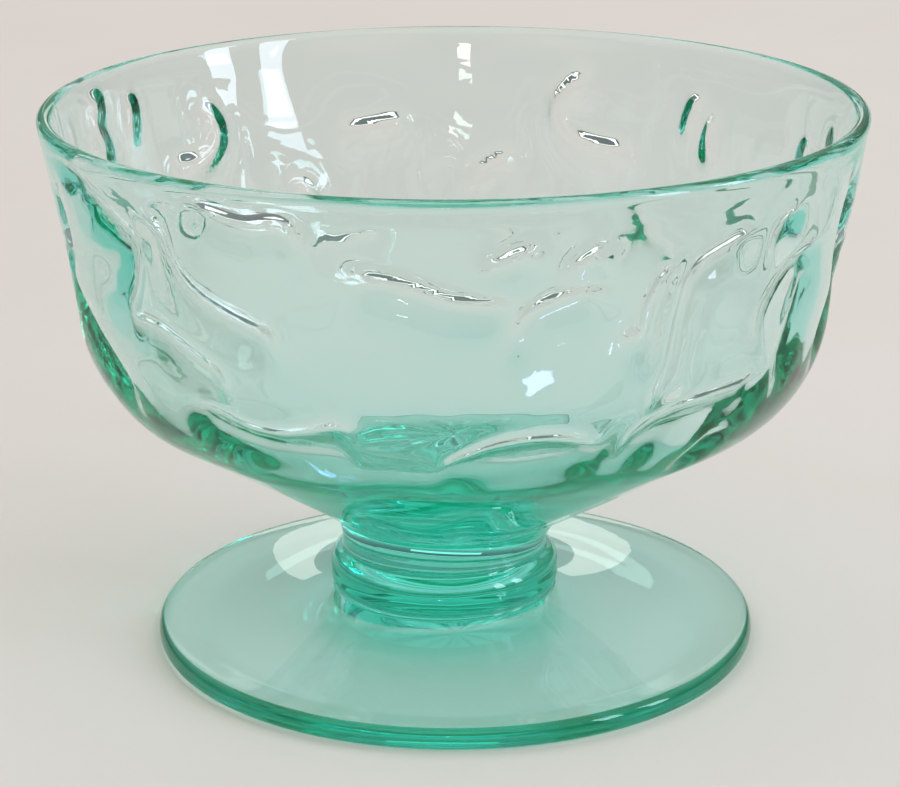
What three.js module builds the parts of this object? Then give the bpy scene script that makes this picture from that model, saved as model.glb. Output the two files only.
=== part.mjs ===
// A footed sherbet glass: a wide crinkled bowl on a short stem, a merese (a wafer of glass between stem
// and foot) and a round foot. Each gather of glass is a solid of its own, and the flat ends of two
// neighbours meet face to face where the glass was fused hot. Lengths are in millimetres, +Z is up and
// the origin is the centre of the foot's resting face.
import * as THREE from 'three';

// Foot, a low cone that is hollow below
const FOOT_DIAMETER = 72;
const FOOT_HEIGHT = 6;
const FOOT_EDGE_THICKNESS = 2.5;
const FOOT_EDGE_ROUNDING = 1;
const FOOT_TOP_BEND_REACH = 6.2;
const FOOT_TOP_BEND_RISE = 0.8;
const RESTING_RING_WIDTH = 6;
const FOOT_HOLLOW_DEPTH = 3.4;
const FOOT_HOLLOW_BEND_RADIUS = 4;

// Stem, which flares from its waist to the bowl
const STEM_HEIGHT = 4.8;
const STEM_TOP_DIAMETER = 28;
const STEM_FLARE = 1.8;
const STEM_TOP_RADIUS = STEM_TOP_DIAMETER / 2;
const STEM_WAIST_RADIUS = STEM_TOP_RADIUS - STEM_FLARE;

// Merese, which bulges almost as wide as the stem's top and is rounded in to the foot and to the waist
const MERESE_HEIGHT = 4.7;
const MERESE_BULGE_HEIGHT = 1.2;
const MERESE_SHOULDER_DROP = 2;
const MERESE_SHOULDER_LIFT = 1.5;
const MERESE_INSET = 0.3;
const MERESE_ROUNDING = 0.9;
const MERESE_RADIUS = STEM_TOP_RADIUS - MERESE_INSET;
const MERESE_SEAT_RADIUS = MERESE_RADIUS - MERESE_ROUNDING;

// Bowl: the wall is thinnest at the rim, the underside is thinnest at the shoulder, and both thicken below.
const RIM_DIAMETER = 95;
const BOWL_HEIGHT = 49.5;
const WALL_THICKNESS = 1.7;
const UNDERSIDE_THICKNESS = 2;
const FLOOR_THICKNESS = 5;
const WALL_LEAN_DEGREES = 9;
const WALL_TAPER_DEGREES = 0.6;
const UNDERSIDE_SLOPE_DEGREES = 31.5;
const UNDERSIDE_TAPER_DEGREES = 4;
const SHOULDER_REACH = 7.5;
const FLOOR_BEND_REACH = 6;

// Crinkles pressed into the bowl's outside, which show inside as softer ridges
const CREASE_DEPTH = 0.9;
const CREASE_HALF_WIDTH = 4.5;
const CREASE_INSIDE_SHARE = 0.6;
const PLAIN_RIM_BAND = 3;

// Each crease is a line over the bowl, as degrees round from the front, to the right, and share of the
// bowl's height.
const CREASES = [
  // Front
  [[-64, 0.95], [-53, 0.89], [-48, 0.84], [-50, 0.74], [-53, 0.66], [-44, 0.64], [-33, 0.56]],
  [[-43, 0.92], [-42, 0.83], [-37, 0.75], [-24, 0.67]],
  [[-36, 0.95], [-28, 0.93], [-22, 0.94], [-20, 0.88]],
  [[-12, 0.84], [-6, 0.82], [0, 0.77], [7, 0.76]],
  [[8, 0.7], [11, 0.77], [18, 0.8]],
  [[14, 0.84], [20, 0.9]],
  [[3, 0.85], [11, 0.91]],
  [[-13, 0.63], [-8, 0.645], [-3, 0.625], [3, 0.6]],
  [[-40, 0.5], [-28, 0.45], [-14, 0.5]],
  [[22, 0.71], [26, 0.68], [27, 0.76], [30, 0.85]],
  [[43, 0.87], [34, 0.82], [32, 0.74], [31, 0.6], [29, 0.5]],
  [[-2, 0.39], [6, 0.45], [14, 0.46], [20, 0.43]],
  [[25, 0.41], [32, 0.49], [49, 0.51]],
  [[38, 0.33], [43, 0.43]],
  // Right
  [[51, 0.89], [47, 0.85]],
  [[60, 0.78], [52, 0.75], [47, 0.64]],
  [[59, 0.76], [57, 0.67], [54, 0.51]],
  [[72, 0.9], [70, 0.8], [75, 0.66], [70, 0.5]],
  [[84, 0.8], [80, 0.68], [86, 0.54]],
  [[98, 0.9], [94, 0.78], [99, 0.64]],
  [[108, 0.84], [107, 0.78]],
  [[118, 0.68], [121, 0.56], [112, 0.46]],
  // Back
  [[132, 0.85], [133, 0.79], [131, 0.72]],
  [[136, 0.89], [138, 0.78]],
  [[146, 0.6], [140, 0.5], [128, 0.46]],
  [[159, 0.9], [162, 0.8], [158, 0.73], [152, 0.71]],
  [[176, 0.62], [171, 0.68]],
  [[176, 0.5], [166, 0.44], [156, 0.47]],
  [[-163, 0.75], [-170, 0.77]],
  [[-152, 0.64], [-155, 0.58]],
  [[-145, 0.5], [-158, 0.44], [-168, 0.47]],
  [[-134, 0.88], [-137, 0.8], [-133, 0.73], [-126, 0.73]],
  // Left
  [[-119, 0.94], [-117, 0.84]],
  [[-118, 0.66], [-124, 0.54], [-136, 0.48]],
  [[-111, 0.97], [-107, 0.91], [-110, 0.81]],
  [[-100, 0.74], [-104, 0.62], [-98, 0.5]],
  [[-84, 0.92], [-88, 0.8], [-84, 0.68], [-90, 0.55]],
  [[-74, 0.87], [-70, 0.8], [-75, 0.7], [-66, 0.57], [-55, 0.46]],
];

// How finely the round shapes are cut into flat facets
const BOWL_SIDES = 96;
const PLAIN_SIDES = 64;
const CREASE_STEPS = 16;

// Colours of the aqua glass: the thin wall looks almost clear, the thick pieces look teal.
const THIN_GLASS = 0xcfe3d6;
const THICK_GLASS = 0x3f9f86;
const EDGE_GLASS = 0x8fc0ac;

const point = (radius, height) => new THREE.Vector2(radius, height);

/** The unit direction at an angle above level, in a profile. */
const heading = (degrees) => point(1, 0).rotateAround(point(0, 0), THREE.MathUtils.degToRad(degrees));

/** The point at a distance from a start along a unit direction. */
const along = (start, direction, distance) => start.clone().addScaledVector(direction, distance);

/** Where the line through p along d meets the line through q along e. */
function meetingPoint(p, d, q, e) {
  const distance = q.clone().sub(p).cross(e) / d.cross(e);
  return along(p, d, distance);
}

/** Evenly spaced points along a curve, without its last one, so that curves join end to end. */
const stepped = (curve, count) => curve.getSpacedPoints(count).slice(0, -1);

const straight = (start, end, count) => stepped(new THREE.LineCurve(start, end), count);

function bent(start, corner, end, count) {
  return stepped(new THREE.QuadraticBezierCurve(start, corner, end), count);
}

/** A body of revolution about +Z from a profile of radius and height that starts and ends on the axis. */
function turned(profile, sides) {
  return new THREE.LatheGeometry(profile, sides).rotateX(Math.PI / 2);
}

function footGeometry() {
  const radius = FOOT_DIAMETER / 2;
  const ringOuter = radius - FOOT_EDGE_ROUNDING;
  const ringInner = ringOuter - RESTING_RING_WIDTH;
  const hollow = point(0, FOOT_HOLLOW_DEPTH);
  const edgeTop = point(ringOuter, FOOT_EDGE_THICKNESS);
  const seat = point(MERESE_SEAT_RADIUS, FOOT_HEIGHT);
  const topBend = point(seat.x + FOOT_TOP_BEND_REACH, edgeTop.y + FOOT_TOP_BEND_RISE);
  return turned([
    ...bent(hollow, point(FOOT_HOLLOW_BEND_RADIUS, FOOT_HOLLOW_DEPTH), point(ringInner, 0), 4),
    point(ringInner, 0),
    ...bent(point(ringOuter, 0), point(radius, 0), point(radius, FOOT_EDGE_ROUNDING), 2),
    ...bent(point(radius, FOOT_EDGE_ROUNDING), point(radius, FOOT_EDGE_THICKNESS), edgeTop, 2),
    ...bent(edgeTop, topBend, seat, 5),
    seat,
    point(0, FOOT_HEIGHT),
  ], PLAIN_SIDES);
}

function mereseGeometry() {
  const seat = point(MERESE_SEAT_RADIUS, 0);
  const bulge = point(MERESE_RADIUS, MERESE_BULGE_HEIGHT);
  const waist = point(STEM_WAIST_RADIUS, MERESE_HEIGHT);
  const shoulder = point(MERESE_RADIUS, waist.y - MERESE_SHOULDER_DROP);
  const shoulderBend = point(MERESE_RADIUS, shoulder.y + MERESE_SHOULDER_LIFT);
  return turned([
    point(0, 0),
    ...bent(seat, point(bulge.x, 0), bulge, 3),
    bulge,
    ...bent(shoulder, shoulderBend, waist, 4),
    waist,
    point(0, MERESE_HEIGHT),
  ], PLAIN_SIDES);
}

function stemGeometry() {
  const waist = point(STEM_WAIST_RADIUS, 0);
  const top = point(STEM_TOP_RADIUS, STEM_HEIGHT);
  return turned([
    point(0, 0),
    ...bent(waist, point(waist.x, STEM_HEIGHT / 2), top, 5),
    top,
    point(0, STEM_HEIGHT),
  ], PLAIN_SIDES);
}

/** The bowl's outer and inner profiles: outside from the base edge to the lip, inside from lip to axis. */
function bowlProfiles() {
  const up = heading(90 - WALL_LEAN_DEGREES);
  const outward = heading(UNDERSIDE_SLOPE_DEGREES);
  const lipRadius = WALL_THICKNESS / 2;
  const lipCentre = point(RIM_DIAMETER / 2 - lipRadius, BOWL_HEIGHT - lipRadius);
  const lipOuter = along(lipCentre, heading(-WALL_LEAN_DEGREES), lipRadius);
  const lipInner = along(lipCentre, heading(-WALL_LEAN_DEGREES), -lipRadius);
  const lipStart = THREE.MathUtils.degToRad(-WALL_LEAN_DEGREES);
  const lipEnd = lipStart + Math.PI;
  const lip = new THREE.EllipseCurve(lipCentre.x, lipCentre.y, lipRadius, lipRadius, lipStart, lipEnd);

  const base = point(STEM_TOP_RADIUS, 0);
  const shoulder = meetingPoint(base, outward, lipOuter, up);
  const shoulderStart = along(shoulder, outward, -SHOULDER_REACH);
  const shoulderEnd = along(shoulder, up, SHOULDER_REACH);

  const insideUp = heading(90 - WALL_LEAN_DEGREES - WALL_TAPER_DEGREES);
  const insideOutward = heading(UNDERSIDE_SLOPE_DEGREES - UNDERSIDE_TAPER_DEGREES);
  const underside = along(shoulder, heading(UNDERSIDE_SLOPE_DEGREES + 90), UNDERSIDE_THICKNESS);
  const insideShoulder = meetingPoint(underside, insideOutward, lipInner, insideUp);
  const insideStart = along(insideShoulder, insideUp, SHOULDER_REACH);
  const insideEnd = along(insideShoulder, insideOutward, -SHOULDER_REACH);
  const floorCorner = meetingPoint(underside, insideOutward, point(0, FLOOR_THICKNESS), heading(0));
  const floorStart = along(floorCorner, insideOutward, FLOOR_BEND_REACH);
  const floorEnd = along(floorCorner, heading(0), -FLOOR_BEND_REACH);

  const outside = [
    ...straight(base, shoulderStart, 5),
    ...bent(shoulderStart, shoulder, shoulderEnd, 5),
    ...straight(shoulderEnd, lipOuter, 8),
  ];
  const inside = [
    ...stepped(lip, 4),
    ...straight(lipInner, insideStart, 6),
    ...bent(insideStart, insideShoulder, insideEnd, 4),
    ...straight(insideEnd, floorStart, 2),
    ...bent(floorStart, floorCorner, floorEnd, 2),
    floorEnd,
    point(0, FLOOR_THICKNESS),
  ];
  return { outside, inside };
}

/** Radius of a rising profile at a height, between its nearest points. */
function radiusAt(profile, height) {
  const next = Math.max(1, profile.findIndex((p) => p.y >= height));
  const above = profile[next];
  const below = profile[next - 1];
  const share = THREE.MathUtils.clamp((height - below.y) / (above.y - below.y), 0, 1);
  return below.x + share * (above.x - below.x);
}

/** A point on the outside, from degrees round from the front (-Y) and the height above the bowl's base. */
function outsidePoint(profile, degrees, height) {
  const angle = THREE.MathUtils.degToRad(degrees);
  const radius = radiusAt(profile, height);
  return new THREE.Vector3(radius * Math.sin(angle), -radius * Math.cos(angle), height);
}

/** Closely spaced points along every crease. */
function creasePoints(profile) {
  return CREASES.flatMap((crease) => {
    const corners = crease.map(([degrees, share]) => outsidePoint(profile, degrees, share * BOWL_HEIGHT));
    return new THREE.CatmullRomCurve3(corners).getSpacedPoints(CREASE_STEPS);
  });
}

function bowlGeometry() {
  const { outside, inside } = bowlProfiles();
  const profile = [point(0, 0), ...outside, ...inside];
  const skin = [...outside, inside[0]];
  const geometry = turned(profile, BOWL_SIDES);
  const creases = creasePoints(skin);
  const { position, normal } = geometry.attributes;
  const vertex = new THREE.Vector3();
  const facing = new THREE.Vector3();
  for (let i = 0; i < position.count; i += 1) {
    const row = i % profile.length;
    const isOutside = row < skin.length;
    vertex.fromBufferAttribute(position, i);
    facing.fromBufferAttribute(normal, i);
    const degrees = THREE.MathUtils.radToDeg(Math.atan2(vertex.x, -vertex.y));
    const pressed = outsidePoint(skin, degrees, vertex.z);
    const nearest = Math.min(...creases.map((crease) => crease.distanceTo(pressed)));
    const closeness = Math.max(0, 1 - nearest / CREASE_HALF_WIDTH);
    const belowRim = THREE.MathUtils.smoothstep(BOWL_HEIGHT - vertex.z, WALL_THICKNESS / 2, PLAIN_RIM_BAND);
    const depth = CREASE_DEPTH * closeness ** 2 * belowRim;
    vertex.addScaledVector(facing, isOutside ? -depth : CREASE_INSIDE_SHARE * depth);
    position.setXYZ(i, vertex.x, vertex.y, vertex.z);
  }
  return geometry;
}

const glass = new THREE.Group();

function addPiece(name, geometry, height, color) {
  const material = new THREE.MeshStandardMaterial({ color, roughness: 0.05, metalness: 0 });
  const mesh = new THREE.Mesh(geometry, material);
  mesh.name = name;
  mesh.position.z = height;
  glass.add(mesh);
}

addPiece('foot', footGeometry(), 0, EDGE_GLASS);
addPiece('merese', mereseGeometry(), FOOT_HEIGHT, THICK_GLASS);
addPiece('stem', stemGeometry(), FOOT_HEIGHT + MERESE_HEIGHT, THICK_GLASS);
addPiece('bowl', bowlGeometry(), FOOT_HEIGHT + MERESE_HEIGHT + STEM_HEIGHT, THIN_GLASS);

export default glass;
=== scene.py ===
"""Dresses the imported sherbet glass: one body of aqua glass, crinkled as it left the mould, in a pale studio.

The bowl, stem, merese and foot are gathers of glass that were fused hot, so their sections join into one
turned profile, and one closed skin of glass stands for all four. The sizes of the glass are in millimetres
until its mesh is made, and the frame gives the levels at which the pieces meet.
"""
import logging
import math
from dataclasses import dataclass
from enum import Enum
from typing import Any, Mapping, Optional, Sequence, Union

import bpy
import numpy as np
from mathutils import Matrix, Vector


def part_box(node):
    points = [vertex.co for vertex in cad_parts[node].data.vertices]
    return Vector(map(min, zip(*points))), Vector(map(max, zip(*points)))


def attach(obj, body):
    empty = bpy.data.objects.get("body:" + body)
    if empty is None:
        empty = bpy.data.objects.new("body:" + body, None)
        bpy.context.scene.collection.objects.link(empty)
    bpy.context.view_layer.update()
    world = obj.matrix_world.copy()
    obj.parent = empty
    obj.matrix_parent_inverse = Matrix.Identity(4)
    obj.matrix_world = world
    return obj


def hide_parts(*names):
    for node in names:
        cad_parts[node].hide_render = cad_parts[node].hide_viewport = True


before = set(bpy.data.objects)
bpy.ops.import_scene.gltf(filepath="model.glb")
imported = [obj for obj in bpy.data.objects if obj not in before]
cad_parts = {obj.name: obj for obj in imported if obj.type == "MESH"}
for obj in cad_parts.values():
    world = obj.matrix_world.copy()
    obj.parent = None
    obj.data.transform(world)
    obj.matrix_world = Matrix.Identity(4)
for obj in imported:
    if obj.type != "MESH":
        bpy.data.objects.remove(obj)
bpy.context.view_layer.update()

LOG = logging.getLogger("sherbet_glass")
MM = 0.001
BODY = "root"

# Radii at which the gathers are fused: the merese on the foot, and the stem on the merese.
SEAT_RADIUS = 12.8
WAIST_RADIUS = 12.2

# Blender's colour mix node names its colour sockets like its others, so they go by place.
MIX_FIRST, MIX_SECOND, MIX_RESULT = 6, 7, 2

Point = Sequence[float]
Crease = tuple[tuple[float, float], ...]


def linear(hex_colour: str) -> tuple[float, float, float, float]:
    """Turns an sRGB hex colour into linear light.

    Args:
        hex_colour: Six hex digits after a hash sign.

    Returns:
        Linear red, green and blue, and an alpha of 1.
    """
    channels = [int(hex_colour[i:i + 2], 16) / 255 for i in (1, 3, 5)]
    light = [c / 12.92 if c <= 0.04045 else ((c + 0.055) / 1.055) ** 2.4 for c in channels]
    return (light[0], light[1], light[2], 1.0)


def add_node(
    tree: bpy.types.NodeTree,
    kind: str,
    values: Optional[Mapping[Union[str, int], Any]] = None,
    links: Optional[Mapping[Union[str, int], bpy.types.NodeSocket]] = None,
    **settings: Any,
) -> bpy.types.Node:
    """Adds a shader node with its settings and links.

    Args:
        tree: The node tree to add to.
        kind: Blender's name of the node type.
        values: Constants for the node's inputs, by socket name or place.
        links: Output sockets that feed the node's inputs, by socket name or place.
        **settings: Attributes of the node itself.

    Returns:
        The new node.
    """
    node = tree.nodes.new(kind)
    for name, setting in settings.items():
        setattr(node, name, setting)
    for name, value in (values or {}).items():
        node.inputs[name].default_value = value
    for name, source in (links or {}).items():
        tree.links.new(source, node.inputs[name])
    return node


def fresh_tree(owner: Union[bpy.types.Material, bpy.types.World]) -> bpy.types.NodeTree:
    """Gives a material or a world an empty node tree.

    Args:
        owner: The material or the world.

    Returns:
        Its node tree.
    """
    owner.use_nodes = True
    owner.node_tree.nodes.clear()
    return owner.node_tree


def put_in_scene(name: str, data: bpy.types.ID) -> bpy.types.Object:
    """Makes an object of a mesh, a lamp or a camera and puts it in the scene.

    Args:
        name: The object's name.
        data: The mesh, lamp or camera.

    Returns:
        The new object.
    """
    thing = bpy.data.objects.new(name, data)
    bpy.context.scene.collection.objects.link(thing)
    return thing


def per_metre(size_mm: float) -> float:
    """Gives a texture's scale from the size of one of its cells in millimetres."""
    return 1.0 / (size_mm * MM)


def straight(start: Point, end: Point, step: float) -> np.ndarray:
    """Steps along a straight stretch of a profile, without its last point.

    Args:
        start: Radius and height where it starts.
        end: Radius and height where it ends.
        step: The longest step.

    Returns:
        Rows of radius and height.
    """
    first, last = np.array(start, float), np.array(end, float)
    count = max(1, math.ceil(np.linalg.norm(last - first) / step))
    share = np.arange(count)[:, None] / count
    return first + share * (last - first)


def bent(start: Point, corner: Point, end: Point, step: float) -> np.ndarray:
    """Steps along a rounded corner of a profile, without its last point.

    Args:
        start: Radius and height where the rounding starts.
        corner: The corner that it rounds.
        end: Radius and height where the rounding ends.
        step: The longest step.

    Returns:
        Rows of radius and height.
    """
    first, middle, last = (np.array(p, float) for p in (start, corner, end))
    length = np.linalg.norm(middle - first) + np.linalg.norm(last - middle)
    count = max(2, math.ceil(length / step))
    share = np.arange(count)[:, None] / count
    return (1 - share) ** 2 * first + 2 * share * (1 - share) * middle + share ** 2 * last


def heading(degrees: float) -> np.ndarray:
    """Gives the unit direction at an angle above level, in a profile."""
    angle = math.radians(degrees)
    return np.array([math.cos(angle), math.sin(angle)])


def meeting_point(p: np.ndarray, d: np.ndarray, q: np.ndarray, e: np.ndarray) -> np.ndarray:
    """Finds where two lines of a profile meet.

    Args:
        p: A point of the first line.
        d: The first line's direction.
        q: A point of the second line.
        e: The second line's direction.

    Returns:
        Radius and height of the point where they meet.
    """
    gap = q - p
    distance = (gap[0] * e[1] - gap[1] * e[0]) / (d[0] * e[1] - d[1] * e[0])
    return p + distance * d


def curve_through(corners: np.ndarray, steps: int) -> np.ndarray:
    """Runs a smooth Catmull-Rom curve through the corners of a line.

    Args:
        corners: Two or more rows of coordinates.
        steps: How many steps lead from one corner to the next.

    Returns:
        Rows of coordinates from the first corner to the last.
    """
    ends = np.vstack([2 * corners[0] - corners[1], corners, 2 * corners[-1] - corners[-2]])
    share = np.linspace(0, 1, steps, endpoint=False)[:, None]
    parts = []
    for a, b, c, d in zip(ends, ends[1:], ends[2:], ends[3:]):
        curve = 2 * b + (c - a) * share + (2 * a - 5 * b + 4 * c - d) * share ** 2
        parts.append((curve + (3 * b - a - 3 * c + d) * share ** 3) / 2)
    return np.vstack(parts + [corners[-1:]])


def smooth_rise(values: np.ndarray, low: float, high: float) -> np.ndarray:
    """Rises smoothly from 0 at a low value to 1 at a high one."""
    share = np.clip((values - low) / (high - low), 0.0, 1.0)
    return share * share * (3 - 2 * share)


class Skin(Enum):
    """Which skin of the glass a row of the profile lies on."""

    PLAIN = "plain"
    FOOT = "foot"
    OUTSIDE = "outside"
    INSIDE = "inside"


@dataclass(frozen=True)
class MouldBlownAquaGlass:
    """Soda-lime glass with a little iron in it, mould-blown and then fire-polished.

    Fire-polishing leaves a bright surface with faint cords in it. The tint comes from the depth of glass that
    light crosses, so the thin wall looks almost clear, while the rim, the merese and the foot's edge look
    teal.
    """

    name: str = "mould_blown_aqua_glass"
    ior: float = 1.5
    clear_tint: str = "#fefefe"
    corded_tint: str = "#fafdfc"
    deep_tint: str = "#6af1e7"
    depth_per_metre: float = 80.0
    polish: float = 0.0
    haze: float = 0.03
    scuffed: float = 0.06
    cord_mm: float = 7.0
    cord_height_mm: float = 0.008
    cord_detail: float = 2.0
    cord_flatness: float = 2.5
    haze_mm: float = 14.0
    haze_detail: float = 4.0
    haze_start: float = 0.45
    haze_full: float = 0.8
    scuff_mm: float = 0.8
    scuff_detail: float = 3.0
    scuff_top_mm: float = 0.3

    def material(self) -> bpy.types.Material:
        """Builds the glass as a node material.

        Returns:
            The material.
        """
        made = bpy.data.materials.new(self.name)
        tree = fresh_tree(made)
        place = add_node(tree, "ShaderNodeTexCoord").outputs["Object"]
        # Cords are faint streaks of uneven glass, drawn out round the axis as the gather was turned.
        drawn_out = add_node(
            tree, "ShaderNodeMapping", {"Scale": (1.0, 1.0, self.cord_flatness)}, {"Vector": place},
        )
        cords = add_node(
            tree, "ShaderNodeTexNoise", {"Scale": per_metre(self.cord_mm), "Detail": self.cord_detail},
            {"Vector": drawn_out.outputs["Vector"]},
        )
        tint = add_node(
            tree, "ShaderNodeMix",
            {MIX_FIRST: linear(self.clear_tint), MIX_SECOND: linear(self.corded_tint)},
            {"Factor": cords.outputs["Fac"]}, data_type="RGBA",
        )
        ripple = add_node(
            tree, "ShaderNodeBump", {"Strength": 1.0, "Distance": self.cord_height_mm * MM},
            {"Height": cords.outputs["Fac"]},
        )
        # A faint haze from handling and washing dulls the polish in patches.
        patches = add_node(
            tree, "ShaderNodeTexNoise", {"Scale": per_metre(self.haze_mm), "Detail": self.haze_detail},
            {"Vector": place},
        )
        polish = add_node(
            tree, "ShaderNodeMapRange",
            {
                "From Min": self.haze_start,
                "From Max": self.haze_full,
                "To Min": self.polish,
                "To Max": self.haze,
            },
            {"Value": patches.outputs["Fac"]},
        )
        # Years of use scuff the resting ring under the foot.
        height = add_node(tree, "ShaderNodeSeparateXYZ", None, {"Vector": place}).outputs["Z"]
        ring = add_node(
            tree, "ShaderNodeMapRange",
            {"From Min": 0.0, "From Max": self.scuff_top_mm * MM, "To Min": self.scuffed, "To Max": 0.0},
            {"Value": height},
        )
        scratches = add_node(
            tree, "ShaderNodeTexNoise", {"Scale": per_metre(self.scuff_mm), "Detail": self.scuff_detail},
            {"Vector": place},
        )
        scuffs = add_node(
            tree, "ShaderNodeMath", None, {0: ring.outputs["Result"], 1: scratches.outputs["Fac"]},
            operation="MULTIPLY",
        )
        roughness = add_node(
            tree, "ShaderNodeMath", None, {0: polish.outputs["Result"], 1: scuffs.outputs["Value"]},
            operation="MAXIMUM",
        )
        shader = add_node(
            tree, "ShaderNodeBsdfPrincipled", {"Transmission Weight": 1.0, "IOR": self.ior},
            {
                "Base Color": tint.outputs[MIX_RESULT],
                "Roughness": roughness.outputs["Value"],
                "Normal": ripple.outputs["Normal"],
            },
        )
        depth = add_node(
            tree, "ShaderNodeVolumeAbsorption",
            {"Color": linear(self.deep_tint), "Density": self.depth_per_metre},
        )
        add_node(
            tree, "ShaderNodeOutputMaterial", None,
            {"Surface": shader.outputs["BSDF"], "Volume": depth.outputs["Volume"]},
        )
        return made


@dataclass(frozen=True)
class MattePaper:
    """Matte studio paper, as rolled out under a product: even, with a soft grain that hardly shows."""

    name: str = "matte_studio_paper"
    pale: str = "#e4ded8"
    shaded: str = "#dfd8d1"
    grain_mm: float = 60.0
    roughness: float = 0.9
    specular: float = 0.1

    def material(self) -> bpy.types.Material:
        """Builds the paper as a node material.

        Returns:
            The material.
        """
        made = bpy.data.materials.new(self.name)
        tree = fresh_tree(made)
        place = add_node(tree, "ShaderNodeTexCoord").outputs["Object"]
        grain = add_node(tree, "ShaderNodeTexNoise", {"Scale": per_metre(self.grain_mm)}, {"Vector": place})
        colour = add_node(
            tree, "ShaderNodeMix", {MIX_FIRST: linear(self.pale), MIX_SECOND: linear(self.shaded)},
            {"Factor": grain.outputs["Fac"]}, data_type="RGBA",
        )
        shader = add_node(
            tree, "ShaderNodeBsdfPrincipled",
            {"Roughness": self.roughness, "Specular IOR Level": self.specular},
            {"Base Color": colour.outputs[MIX_RESULT]},
        )
        add_node(tree, "ShaderNodeOutputMaterial", None, {"Surface": shader.outputs["BSDF"]})
        return made


@dataclass(frozen=True)
class Foot:
    """The round foot: a low cone that rises to the merese, with a rounded edge and a hollow below.

    Its hand-worked top is uneven in slow waves, each given as its count round the foot, share and phase.
    """

    radius: float
    height: float
    edge_thickness: float = 2.5
    edge_rounding: float = 1.0
    top_bend_reach: float = 6.2
    top_bend_rise: float = 0.8
    ring_width: float = 6.0
    hollow_depth: float = 3.4
    hollow_bend_radius: float = 4.0
    seat_radius: float = SEAT_RADIUS
    unevenness: float = 0.03
    waves: tuple[tuple[int, float, float], ...] = ((3, 1.0, 0.7), (5, 0.7, -1.1), (9, 0.4, 2.0))
    hollow_step: float = 3.0
    ring_step: float = 2.0
    edge_step: float = 0.35
    top_step: float = 1.4

    def swell(self, degrees: np.ndarray, section: np.ndarray) -> np.ndarray:
        """Gives how far the hand-worked top stands proud, which fades to nothing at the flat resting ring.

        Args:
            degrees: How far round from the front, to the right.
            section: Radius and height by row and column.

        Returns:
            The swelling by row and column.
        """
        angle = np.radians(degrees)[None, :]
        waves = sum(share * np.sin(count * angle + phase) for count, share, phase in self.waves)
        outward = smooth_rise(section[:, :, 0], self.seat_radius, self.radius - self.edge_rounding)
        return self.unevenness * waves * outward * smooth_rise(section[:, :, 1], 0.0, self.edge_thickness)

    def profile(self) -> np.ndarray:
        """Gives the section from the middle of the hollow, round the edge, up to the merese.

        Returns:
            Rows of radius and height.
        """
        ring_outer = self.radius - self.edge_rounding
        ring_inner = ring_outer - self.ring_width
        edge_low = (self.radius, self.edge_rounding)
        edge_top = (ring_outer, self.edge_thickness)
        top_bend = (self.seat_radius + self.top_bend_reach, self.edge_thickness + self.top_bend_rise)
        hollow = (0.0, self.hollow_depth)
        hollow_bend = (self.hollow_bend_radius, self.hollow_depth)
        return np.vstack([
            bent(hollow, hollow_bend, (ring_inner, 0.0), self.hollow_step),
            straight((ring_inner, 0.0), (ring_outer, 0.0), self.ring_step),
            bent((ring_outer, 0.0), (self.radius, 0.0), edge_low, self.edge_step),
            bent(edge_low, (self.radius, self.edge_thickness), edge_top, self.edge_step),
            bent(edge_top, top_bend, (self.seat_radius, self.height), self.top_step),
        ])


@dataclass(frozen=True)
class Merese:
    """The wafer of glass between the foot and the stem, with an upright side and a sloping shoulder."""

    base: float
    top: float
    radius: float
    seat_radius: float = SEAT_RADIUS
    waist_radius: float = WAIST_RADIUS
    bulge_height: float = 1.2
    shoulder_drop: float = 2.0
    shoulder_lift: float = 1.5
    bend_step: float = 0.35
    side_step: float = 0.6

    def profile(self) -> np.ndarray:
        """Gives the section from the foot, out over the bulge and in to the stem's waist.

        Returns:
            Rows of radius and height.
        """
        bulge = (self.radius, self.base + self.bulge_height)
        shoulder = (self.radius, self.top - self.shoulder_drop)
        shoulder_bend = (self.radius, shoulder[1] + self.shoulder_lift)
        return np.vstack([
            bent((self.seat_radius, self.base), (self.radius, self.base), bulge, self.bend_step),
            straight(bulge, shoulder, self.side_step),
            bent(shoulder, shoulder_bend, (self.waist_radius, self.top), self.bend_step),
        ])


@dataclass(frozen=True)
class Stem:
    """The short waisted stem, which flares to the bowl."""

    base: float
    top: float
    top_radius: float
    waist_radius: float = WAIST_RADIUS
    step: float = 0.6

    def profile(self) -> np.ndarray:
        """Gives the section from the waist up to the bowl.

        Returns:
            Rows of radius and height.
        """
        control = (self.waist_radius, (self.base + self.top) / 2)
        return bent((self.waist_radius, self.base), control, (self.top_radius, self.top), self.step)


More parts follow.
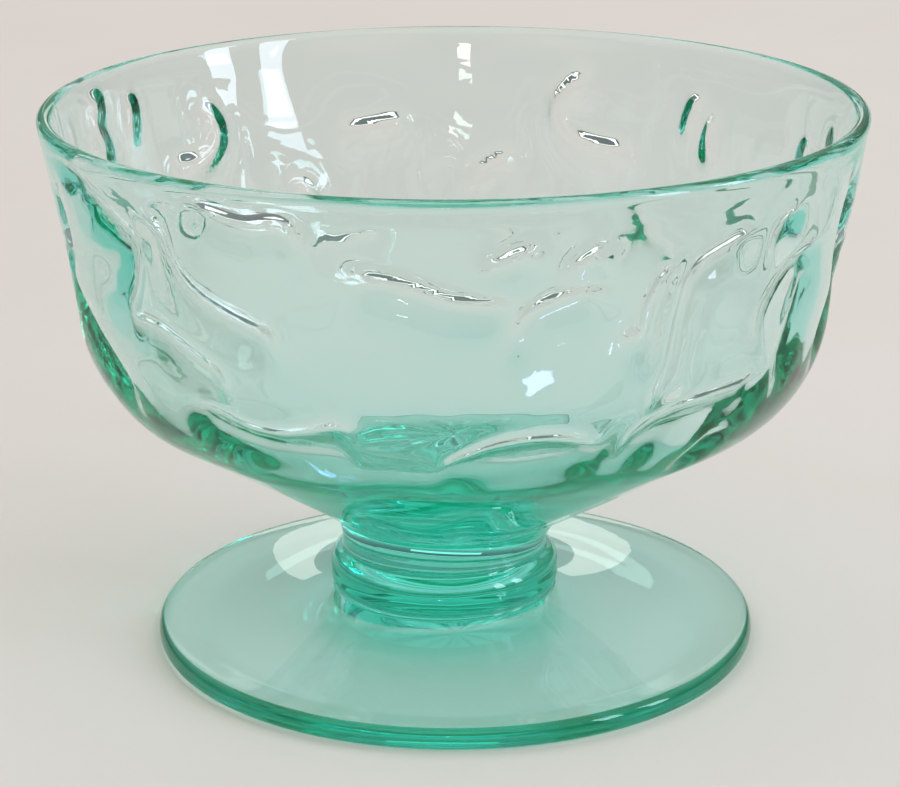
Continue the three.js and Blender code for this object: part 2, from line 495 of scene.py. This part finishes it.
@dataclass(frozen=True)
class Bowl:
    """The wide bowl: a sloping underside, a rounded shoulder and a wall that leans out to a rounded lip."""

    base: float
    top: float
    rim_radius: float
    base_radius: float
    wall: float = 1.7
    underside: float = 2.0
    floor: float = 5.0
    lean: float = 9.0
    slope: float = 31.5
    wall_taper: float = 0.6
    underside_taper: float = 4.0
    shoulder_reach: float = 7.5
    floor_reach: float = 6.0
    outside_step: float = 0.7
    inside_step: float = 1.4
    floor_step: float = 3.0
    lip_steps: int = 9

    @property
    def height(self) -> float:
        """The bowl's own height."""
        return self.top - self.base

    @property
    def lip_centre(self) -> np.ndarray:
        """The middle of the round lip, in the profile."""
        half = self.wall / 2
        return np.array([self.rim_radius - half, self.top - half])

    @property
    def shoulder(self) -> np.ndarray:
        """The corner that the outer shoulder rounds, in the profile.

        Returns:
            Radius and height.
        """
        base = np.array([self.base_radius, self.base])
        lip = self.lip_centre + heading(-self.lean) * self.wall / 2
        return meeting_point(base, heading(self.slope), lip, heading(90 - self.lean))

    def outside(self) -> np.ndarray:
        """Gives the outer section from the stem to the lip.

        Returns:
            Rows of radius and height.
        """
        up, outward = heading(90 - self.lean), heading(self.slope)
        base = np.array([self.base_radius, self.base])
        lip = self.lip_centre + heading(-self.lean) * self.wall / 2
        shoulder = self.shoulder
        start = shoulder - outward * self.shoulder_reach
        end = shoulder + up * self.shoulder_reach
        return np.vstack([
            straight(base, start, self.outside_step),
            bent(start, shoulder, end, self.outside_step),
            straight(end, lip, self.outside_step),
        ])

    def lip(self) -> np.ndarray:
        """Gives the half round of the lip, from the outside to the inside.

        Returns:
            Rows of radius and height.
        """
        turns = -self.lean + 180.0 * np.arange(self.lip_steps) / self.lip_steps
        return np.array([self.lip_centre + heading(turn) * self.wall / 2 for turn in turns])

    def inside(self) -> np.ndarray:
        """Gives the inner section from the lip down to just short of the axis.

        Returns:
            Rows of radius and height.
        """
        up = heading(90 - self.lean - self.wall_taper)
        outward = heading(self.slope - self.underside_taper)
        lip = self.lip_centre - heading(-self.lean) * self.wall / 2
        under = self.shoulder + heading(self.slope + 90) * self.underside
        shoulder = meeting_point(under, outward, lip, up)
        start = shoulder + up * self.shoulder_reach
        end = shoulder - outward * self.shoulder_reach
        level = np.array([0.0, self.base + self.floor])
        corner = meeting_point(under, outward, level, heading(0))
        floor_start = corner + outward * self.floor_reach
        floor_end = corner - heading(0) * self.floor_reach
        return np.vstack([
            straight(lip, start, self.inside_step),
            bent(start, shoulder, end, self.inside_step),
            straight(end, floor_start, self.inside_step),
            bent(floor_start, corner, floor_end, self.inside_step),
            straight(floor_end, level, self.floor_step),
        ])


@dataclass(frozen=True)
class Crinkle:
    """The crinkles that the mould pressed into the bowl's outside.

    Each crease is a line over the bowl, as degrees round from the front, to the right, and share of the
    bowl's height, on which the fold's bright upper edge shows. The fold lies in a broad hollow, a little
    below that line. It is steep above and trails off below, and it runs out at both ends. Between the
    creases the wall sways slowly, in two waves that cross.
    """

    creases: tuple[Crease, ...]
    fold_depth: float = 1.05
    fold_width: float = 1.5
    fold_trail: float = 0.9
    hollow_depth: float = 0.45
    hollow_width: float = 4.5
    hollow_inside: float = 1.0
    full_length: float = 18.0
    short_scale: float = 0.95
    sway_depth: float = 0.18
    sway_round: tuple[int, int] = (7, 11)
    sway_up: tuple[int, int] = (9, -13)
    sway_twist: float = 1.6
    sway_twist_round: int = 2
    sway_phase: float = 1.3
    plain_band: float = 3.0
    plain_base: float = 3.0
    run_out: float = 2.8
    run_out_share: float = 0.35
    drop: float = 1.15
    spacing: float = 0.4
    corner_steps: int = 12
    fewest_points: int = 8
    reach_in_widths: float = 2.2

    def sway(self, angle: np.ndarray, level: np.ndarray) -> np.ndarray:
        """Gives the slow sway of the wall.

        Args:
            angle: Radians round from the front, to the right.
            level: Shares of the bowl's height.

        Returns:
            The sway, from -2 to 2.
        """
        twist = self.sway_twist * np.sin(self.sway_twist_round * angle)
        first = np.sin(self.sway_round[0] * angle + self.sway_up[0] * level + twist)
        return first + np.sin(self.sway_round[1] * angle + self.sway_up[1] * level + self.sway_phase)


CREASES: tuple[Crease, ...] = (
    # Front
    ((-64, 0.95), (-53, 0.89), (-48, 0.84), (-50, 0.74), (-53, 0.66), (-44, 0.64), (-33, 0.56)),
    ((-43, 0.92), (-42, 0.83), (-37, 0.75), (-24, 0.67)),
    ((-36, 0.95), (-28, 0.93), (-22, 0.94), (-20, 0.88)),
    ((-14, 0.84), (-7, 0.82), (0, 0.785), (8, 0.78)),
    ((7, 0.68), (11, 0.77), (20, 0.81)),
    ((14, 0.84), (20, 0.9)),
    ((3, 0.85), (11, 0.91)),
    ((-40, 0.5), (-28, 0.45), (-14, 0.5)),
    ((22, 0.71), (26, 0.68), (27, 0.76), (30, 0.85)),
    ((43, 0.87), (34, 0.82), (32, 0.74), (31, 0.6), (29, 0.5)),
    ((-2, 0.39), (6, 0.45), (14, 0.46), (20, 0.43)),
    ((25, 0.41), (32, 0.49), (49, 0.51)),
    ((38, 0.33), (43, 0.43)),
    # Right
    ((51, 0.89), (47, 0.85)),
    ((60, 0.78), (52, 0.75), (47, 0.64)),
    ((59, 0.76), (57, 0.67), (54, 0.51)),
    ((72, 0.9), (70, 0.8), (75, 0.66), (70, 0.5)),
    ((84, 0.8), (80, 0.68), (86, 0.54)),
    ((98, 0.9), (94, 0.78), (99, 0.64)),
    ((108, 0.84), (107, 0.78)),
    ((118, 0.68), (121, 0.56), (112, 0.46)),
    # Back
    ((132, 0.85), (133, 0.79), (131, 0.72)),
    ((136, 0.89), (138, 0.78)),
    ((146, 0.6), (140, 0.5), (128, 0.46)),
    ((157, 0.91), (162, 0.81), (158, 0.73), (148, 0.705)),
    ((178, 0.61), (169, 0.69)),
    ((176, 0.5), (166, 0.44), (156, 0.47)),
    ((-160, 0.745), (-173, 0.775)),
    ((-152, 0.64), (-155, 0.58)),
    ((-145, 0.5), (-158, 0.44), (-168, 0.47)),
    ((-134, 0.88), (-137, 0.8), (-133, 0.73), (-126, 0.73)),
    # Left
    ((-119, 0.94), (-117, 0.84)),
    ((-118, 0.66), (-124, 0.54), (-136, 0.48)),
    ((-111, 0.97), (-107, 0.91), (-110, 0.81)),
    ((-100, 0.74), (-104, 0.62), (-98, 0.5)),
    ((-84, 0.92), (-88, 0.8), (-84, 0.68), (-90, 0.55)),
    ((-74, 0.87), (-70, 0.8), (-75, 0.7), (-66, 0.57), (-55, 0.46)),
)


@dataclass
class CrinkledSkin:
    """Works out how deep the crinkles lie at any place on the bowl."""

    bowl: Bowl
    crinkle: Crinkle

    def place(self, degrees: np.ndarray, heights: np.ndarray) -> np.ndarray:
        """Puts points on the plain outside of the bowl.

        Args:
            degrees: How far round from the front, to the right.
            heights: Heights in the frame.

        Returns:
            Rows of x, y and z.
        """
        profile = self.bowl.outside()
        radius = np.interp(heights, profile[:, 1], profile[:, 0])
        angle = np.radians(degrees)
        return np.stack([radius * np.sin(angle), -radius * np.cos(angle), heights], axis=-1)

    def lines(self) -> list[tuple[np.ndarray, np.ndarray, float]]:
        """Draws every crease as closely spaced points.

        Returns:
            For each crease its points, how strong it is at each of them, and how full it is for its length.
        """
        drawn = []
        for crease in self.crinkle.creases:
            route = curve_through(np.array(crease, float), self.crinkle.corner_steps)
            heights = self.bowl.base + route[:, 1] * self.bowl.height - self.crinkle.drop
            points = self.place(route[:, 0], heights)
            run = np.concatenate([[0.0], np.cumsum(np.linalg.norm(np.diff(points, axis=0), axis=1))])
            count = max(self.crinkle.fewest_points, math.ceil(run[-1] / self.crinkle.spacing))
            even = np.linspace(0.0, run[-1], count)
            spaced = np.stack([np.interp(even, run, points[:, i]) for i in range(3)], axis=1)
            from_end = np.minimum(even, run[-1] - even)
            run_out = min(self.crinkle.run_out, self.crinkle.run_out_share * run[-1])
            fullness = min(1.0, run[-1] / self.crinkle.full_length)
            drawn.append((spaced, smooth_rise(from_end, 0.0, run_out), fullness))
        return drawn

    def depths(self, degrees: np.ndarray, heights: np.ndarray) -> tuple[np.ndarray, np.ndarray]:
        """Measures the folds and the hollows round them at places on the bowl.

        Args:
            degrees: How far round from the front, to the right.
            heights: Heights in the frame.

        Returns:
            The depth of the sharp folds, and of the broad hollows with the slow sway of the wall.
        """
        size = self.crinkle
        spots = self.place(degrees, heights)
        fold = np.zeros(len(spots))
        hollow = np.zeros(len(spots))
        reach = size.reach_in_widths * size.fold_width * (1 + size.fold_trail)
        for points, strength, fullness in self.lines():
            low, high = points.min(0) - reach, points.max(0) + reach
            near = np.where(((spots > low) & (spots < high)).all(1))[0]
            offsets = spots[near, None] - points[None]
            gaps = np.linalg.norm(offsets, axis=2)
            below = np.clip(-offsets[:, :, 2] / np.maximum(gaps, size.spacing), 0, 1) ** 2
            scale = size.short_scale + (1 - size.short_scale) * fullness
            widths = scale * size.fold_width * (1 + size.fold_trail * below)
            sharp = scale * np.exp(-(gaps / widths) ** 2)
            fold[near] = np.maximum(fold[near], (strength * sharp).max(1))
            close = np.clip(1 - gaps / size.hollow_width, 0, 1) ** 2
            hollow[near] = np.maximum(hollow[near], fullness * (strength * close).max(1))
        angle = np.radians(degrees)
        level = (heights - self.bowl.base) / self.bowl.height
        fade = smooth_rise(self.bowl.top - heights, self.bowl.wall / 2, size.plain_band)
        fade = fade * smooth_rise(heights - self.bowl.base, 0.0, size.plain_base)
        broad = size.hollow_depth * hollow + size.sway_depth * (1 + size.sway(angle, level) / 2)
        return size.fold_depth * fold * fade, broad * fade


@dataclass
class SherbetGlass:
    """The whole glass: the four gathers fused into one body with one skin."""

    foot: Foot
    merese: Merese
    stem: Stem
    bowl: Bowl
    crinkle: Crinkle
    finish: MouldBlownAquaGlass
    columns: int = 430
    stem_aside: float = -1.3
    name: str = "fused_glass"

    def rows(self) -> tuple[np.ndarray, np.ndarray]:
        """Joins the sections into one profile, from the hollow under the foot to the bowl's floor.

        Returns:
            Rows of radius and height, and the skin that each lies on.
        """
        sections = (
            (self.foot.profile(), Skin.FOOT),
            (self.merese.profile(), Skin.PLAIN),
            (self.stem.profile(), Skin.PLAIN),
            (self.bowl.outside(), Skin.OUTSIDE),
            (self.bowl.lip(), Skin.PLAIN),
            (self.bowl.inside(), Skin.INSIDE),
        )
        points = np.vstack([section for section, _ in sections])
        skins = np.concatenate([[skin] * len(section) for section, skin in sections])
        return points, skins

    def grid(self) -> np.ndarray:
        """Turns the profile round the axis and presses the crinkles into the bowl.

        Returns:
            The skin's points by row and column, in millimetres, without the two on the axis.
        """
        points, skins = self.rows()
        along = np.gradient(points, axis=0)
        facing = np.stack([along[:, 1], -along[:, 0]], axis=1)
        facing /= np.linalg.norm(facing, axis=1)[:, None]
        degrees = np.linspace(-180, 180, self.columns, endpoint=False)
        section = np.repeat(points[:, None, :], self.columns, axis=1)
        skin = CrinkledSkin(self.bowl, self.crinkle)
        for side, fold_share, hollow_share in (
            (Skin.OUTSIDE, -1.0, -1.0),
            (Skin.INSIDE, 0.0, self.crinkle.hollow_inside),
        ):
            picked = np.where(skins == side)[0]
            round_about, heights = np.broadcast_arrays(degrees[None, :], points[picked, 1][:, None])
            fold, hollow = skin.depths(round_about.ravel(), heights.ravel())
            press = (fold_share * fold + hollow_share * hollow).reshape(round_about.shape)
            section[picked] += press[:, :, None] * facing[picked][:, None, :]
        worked = np.where(skins == Skin.FOOT)[0]
        swell = self.foot.swell(degrees, section[worked])
        section[worked] += swell[:, :, None] * facing[worked][:, None, :]
        angle = np.radians(degrees)[None, :]
        radius, height = section[:, :, 0], section[:, :, 1]
        # The stem was joined by eye, a little to one side of the foot and the bowl.
        joined = smooth_rise(height, self.foot.edge_thickness, self.foot.height)
        freed = smooth_rise(height, self.stem.base, self.bowl.base + self.bowl.floor)
        across = radius * np.sin(angle) + self.stem_aside * joined * (1 - freed)
        return np.stack([across, -radius * np.cos(angle), height], axis=2)[1:]

    def build(self) -> bpy.types.Object:
        """Makes the closed skin of the glass and dresses it.

        Returns:
            The piece, in the scene.
        """
        grid = self.grid()
        rows, columns = grid.shape[:2]
        hollow = (0.0, 0.0, self.foot.hollow_depth)
        floor = (0.0, 0.0, self.bowl.base + self.bowl.floor)
        vertices = np.vstack([grid.reshape(-1, 3), [hollow, floor]]) * MM
        hollow_index, floor_index = rows * columns, rows * columns + 1
        here = np.arange(columns)
        after = (here + 1) % columns
        faces = [[hollow_index, b, a] for a, b in zip(here.tolist(), after.tolist())]
        for row in range(rows - 1):
            low, high = row * columns, (row + 1) * columns
            faces += np.stack([low + here, low + after, high + after, high + here], axis=1).tolist()
        last = (rows - 1) * columns
        faces += [[last + a, last + b, floor_index] for a, b in zip(here.tolist(), after.tolist())]
        mesh = bpy.data.meshes.new(self.name)
        mesh.from_pydata(vertices.tolist(), [], faces)
        mesh.shade_smooth()
        mesh.materials.append(self.finish.material())
        return put_in_scene(self.name, mesh)


@dataclass(frozen=True)
class Softbox:
    """A soft rectangular lamp that faces the glass, with its place and size in metres."""

    name: str
    place: tuple[float, float, float]
    width: float
    height: float
    watts: float
    colour: str
    target: tuple[float, float, float] = (0.0, 0.0, 0.04)

    def build(self) -> bpy.types.Object:
        """Hangs the lamp in the scene.

        Returns:
            The lamp.
        """
        lamp = bpy.data.lights.new(self.name, "AREA")
        lamp.shape = "RECTANGLE"
        lamp.size = self.width
        lamp.size_y = self.height
        lamp.energy = self.watts
        lamp.color = linear(self.colour)[:3]
        hung = put_in_scene(self.name, lamp)
        hung.location = self.place
        aim = Vector(self.target) - Vector(self.place)
        hung.rotation_euler = aim.to_track_quat("-Z", "Y").to_euler()
        return hung


@dataclass(frozen=True)
class PhotoCamera:
    """The camera at the photograph's place, looking along +Y and down, in millimetres and degrees."""

    lens: float = 104.9
    sensor: float = 36.0
    away: float = 296.3
    aside: float = -0.53
    above: float = 127.9
    pitch: float = 18.37
    roll: float = -0.235
    nearest: float = 10.0
    name: str = "photo_camera"

    def build(self) -> bpy.types.Object:
        """Sets the camera up and makes it the scene's own.

        Returns:
            The camera.
        """
        data = bpy.data.cameras.new(self.name)
        data.lens = self.lens
        data.sensor_width = self.sensor
        data.sensor_fit = "HORIZONTAL"
        data.clip_start = self.nearest * MM
        camera = put_in_scene(self.name, data)
        tilt = Matrix.Rotation(math.radians(90 - self.pitch), 4, "X")
        turn = Matrix.Rotation(math.radians(self.roll), 4, "Z")
        place = Matrix.Translation(Vector((self.aside, -self.away, self.above)) * MM)
        camera.matrix_world = place @ tilt @ turn
        bpy.context.scene.camera = camera
        return camera


@dataclass(frozen=True)
class Studio:
    """A plain pale floor, soft lamps, and a soft room that is dim at the sides, so that edges show.

    The floor's sizes are in metres, as the lamps' are.
    """

    paper: MattePaper
    softboxes: tuple[Softbox, ...]
    camera: PhotoCamera
    floor_radius: float = 3.0
    floor_sides: int = 96
    floor_drop: float = 0.0002
    floor_name: str = "studio_floor"
    room_low: str = "#6e7072"
    room_high: str = "#fffdfa"
    room_high_share: float = 0.75
    light_bounces: int = 40
    glossy_blur: float = 0.0

    def build(self) -> None:
        """Lays the floor, hangs the lamps, lights the room and places the camera."""
        turns = [2 * math.pi * i / self.floor_sides for i in range(self.floor_sides)]
        reach, level = self.floor_radius, -self.floor_drop
        corners = [(reach * math.cos(turn), reach * math.sin(turn), level) for turn in turns]
        mesh = bpy.data.meshes.new(self.floor_name)
        mesh.from_pydata(corners, [], [list(range(self.floor_sides))])
        mesh.materials.append(self.paper.material())
        floor = put_in_scene(self.floor_name, mesh)
        for softbox in self.softboxes:
            softbox.build()
            LOG.info("lamp %s", softbox.name)
        bpy.context.scene.world = self.room()
        self.trace_glass()
        self.camera.build()

    def room(self) -> bpy.types.World:
        """Makes the room: dim at eye level and bright overhead, like a large soft ceiling.

        Returns:
            The world.
        """
        world = bpy.data.worlds.new("soft_room")
        tree = fresh_tree(world)
        way = add_node(tree, "ShaderNodeTexCoord").outputs["Generated"]
        height = add_node(tree, "ShaderNodeSeparateXYZ", None, {"Vector": way}).outputs["Z"]
        rise = add_node(
            tree, "ShaderNodeMapRange", {"From Min": 0.0, "From Max": self.room_high_share},
            {"Value": height}, interpolation_type="SMOOTHSTEP",
        )
        light = add_node(
            tree, "ShaderNodeMix", {MIX_FIRST: linear(self.room_low), MIX_SECOND: linear(self.room_high)},
            {"Factor": rise.outputs["Result"]}, data_type="RGBA",
        )
        air = add_node(tree, "ShaderNodeBackground", None, {"Color": light.outputs[MIX_RESULT]})
        add_node(tree, "ShaderNodeOutputWorld", None, {"Surface": air.outputs["Background"]})
        return world

    def trace_glass(self) -> None:
        """Follows light through every turn inside the glass, because its colour comes from long paths."""
        cycles = bpy.context.scene.cycles
        cycles.max_bounces = self.light_bounces
        cycles.glossy_bounces = self.light_bounces
        cycles.transmission_bounces = self.light_bounces
        cycles.blur_glossy = self.glossy_blur


SOFTBOXES = (
    Softbox("near_window_pane", (0.96, -0.6, 0.42), 0.2, 0.5, 3.0, "#dcebff"),
    Softbox("far_window_pane", (1.11, -0.2, 0.42), 0.2, 0.5, 3.0, "#dcebff"),
    Softbox("back_strip", (0.0, 1.3, 0.27), 0.6, 0.136, 0.33, "#fffaf4"),
    Softbox("front_bulb", (-0.07, -1.2, 0.24), 0.12, 0.018, 0.08, "#fffaf4"),
    Softbox("low_strip", (0.0, 2.4, 0.07), 2.6, 0.05, 0.6, "#fffaf4"),
    Softbox("ceiling_lamp", (-0.29, 0.43, 0.9), 0.035, 0.035, 0.16, "#a8b4ff"),
)


def main() -> None:
    """Builds the glass and its studio."""
    logging.basicConfig(level=logging.INFO, format="%(name)s: %(message)s")
    bpy.context.scene.view_settings.view_transform = "Standard"
    levels = {node: [corner.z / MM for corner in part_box(node)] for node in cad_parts}
    radii = {node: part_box(node)[1].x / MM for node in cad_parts}
    glass = SherbetGlass(
        foot=Foot(radius=radii["foot"], height=levels["foot"][1]),
        merese=Merese(base=levels["merese"][0], top=levels["merese"][1], radius=radii["merese"]),
        stem=Stem(base=levels["stem"][0], top=levels["stem"][1], top_radius=radii["stem"]),
        bowl=Bowl(
            base=levels["bowl"][0], top=levels["bowl"][1],
            rim_radius=radii["bowl"], base_radius=radii["stem"],
        ),
        crinkle=Crinkle(CREASES),
        finish=MouldBlownAquaGlass(),
    )
    piece = glass.build()
    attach(piece, BODY)
    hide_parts("bowl", "stem", "merese", "foot")
    LOG.info("piece %s: %d points, %d faces", piece.name, len(piece.data.vertices), len(piece.data.polygons))
    Studio(MattePaper(), SOFTBOXES, PhotoCamera()).build()


if __name__ == "__main__":
    main()
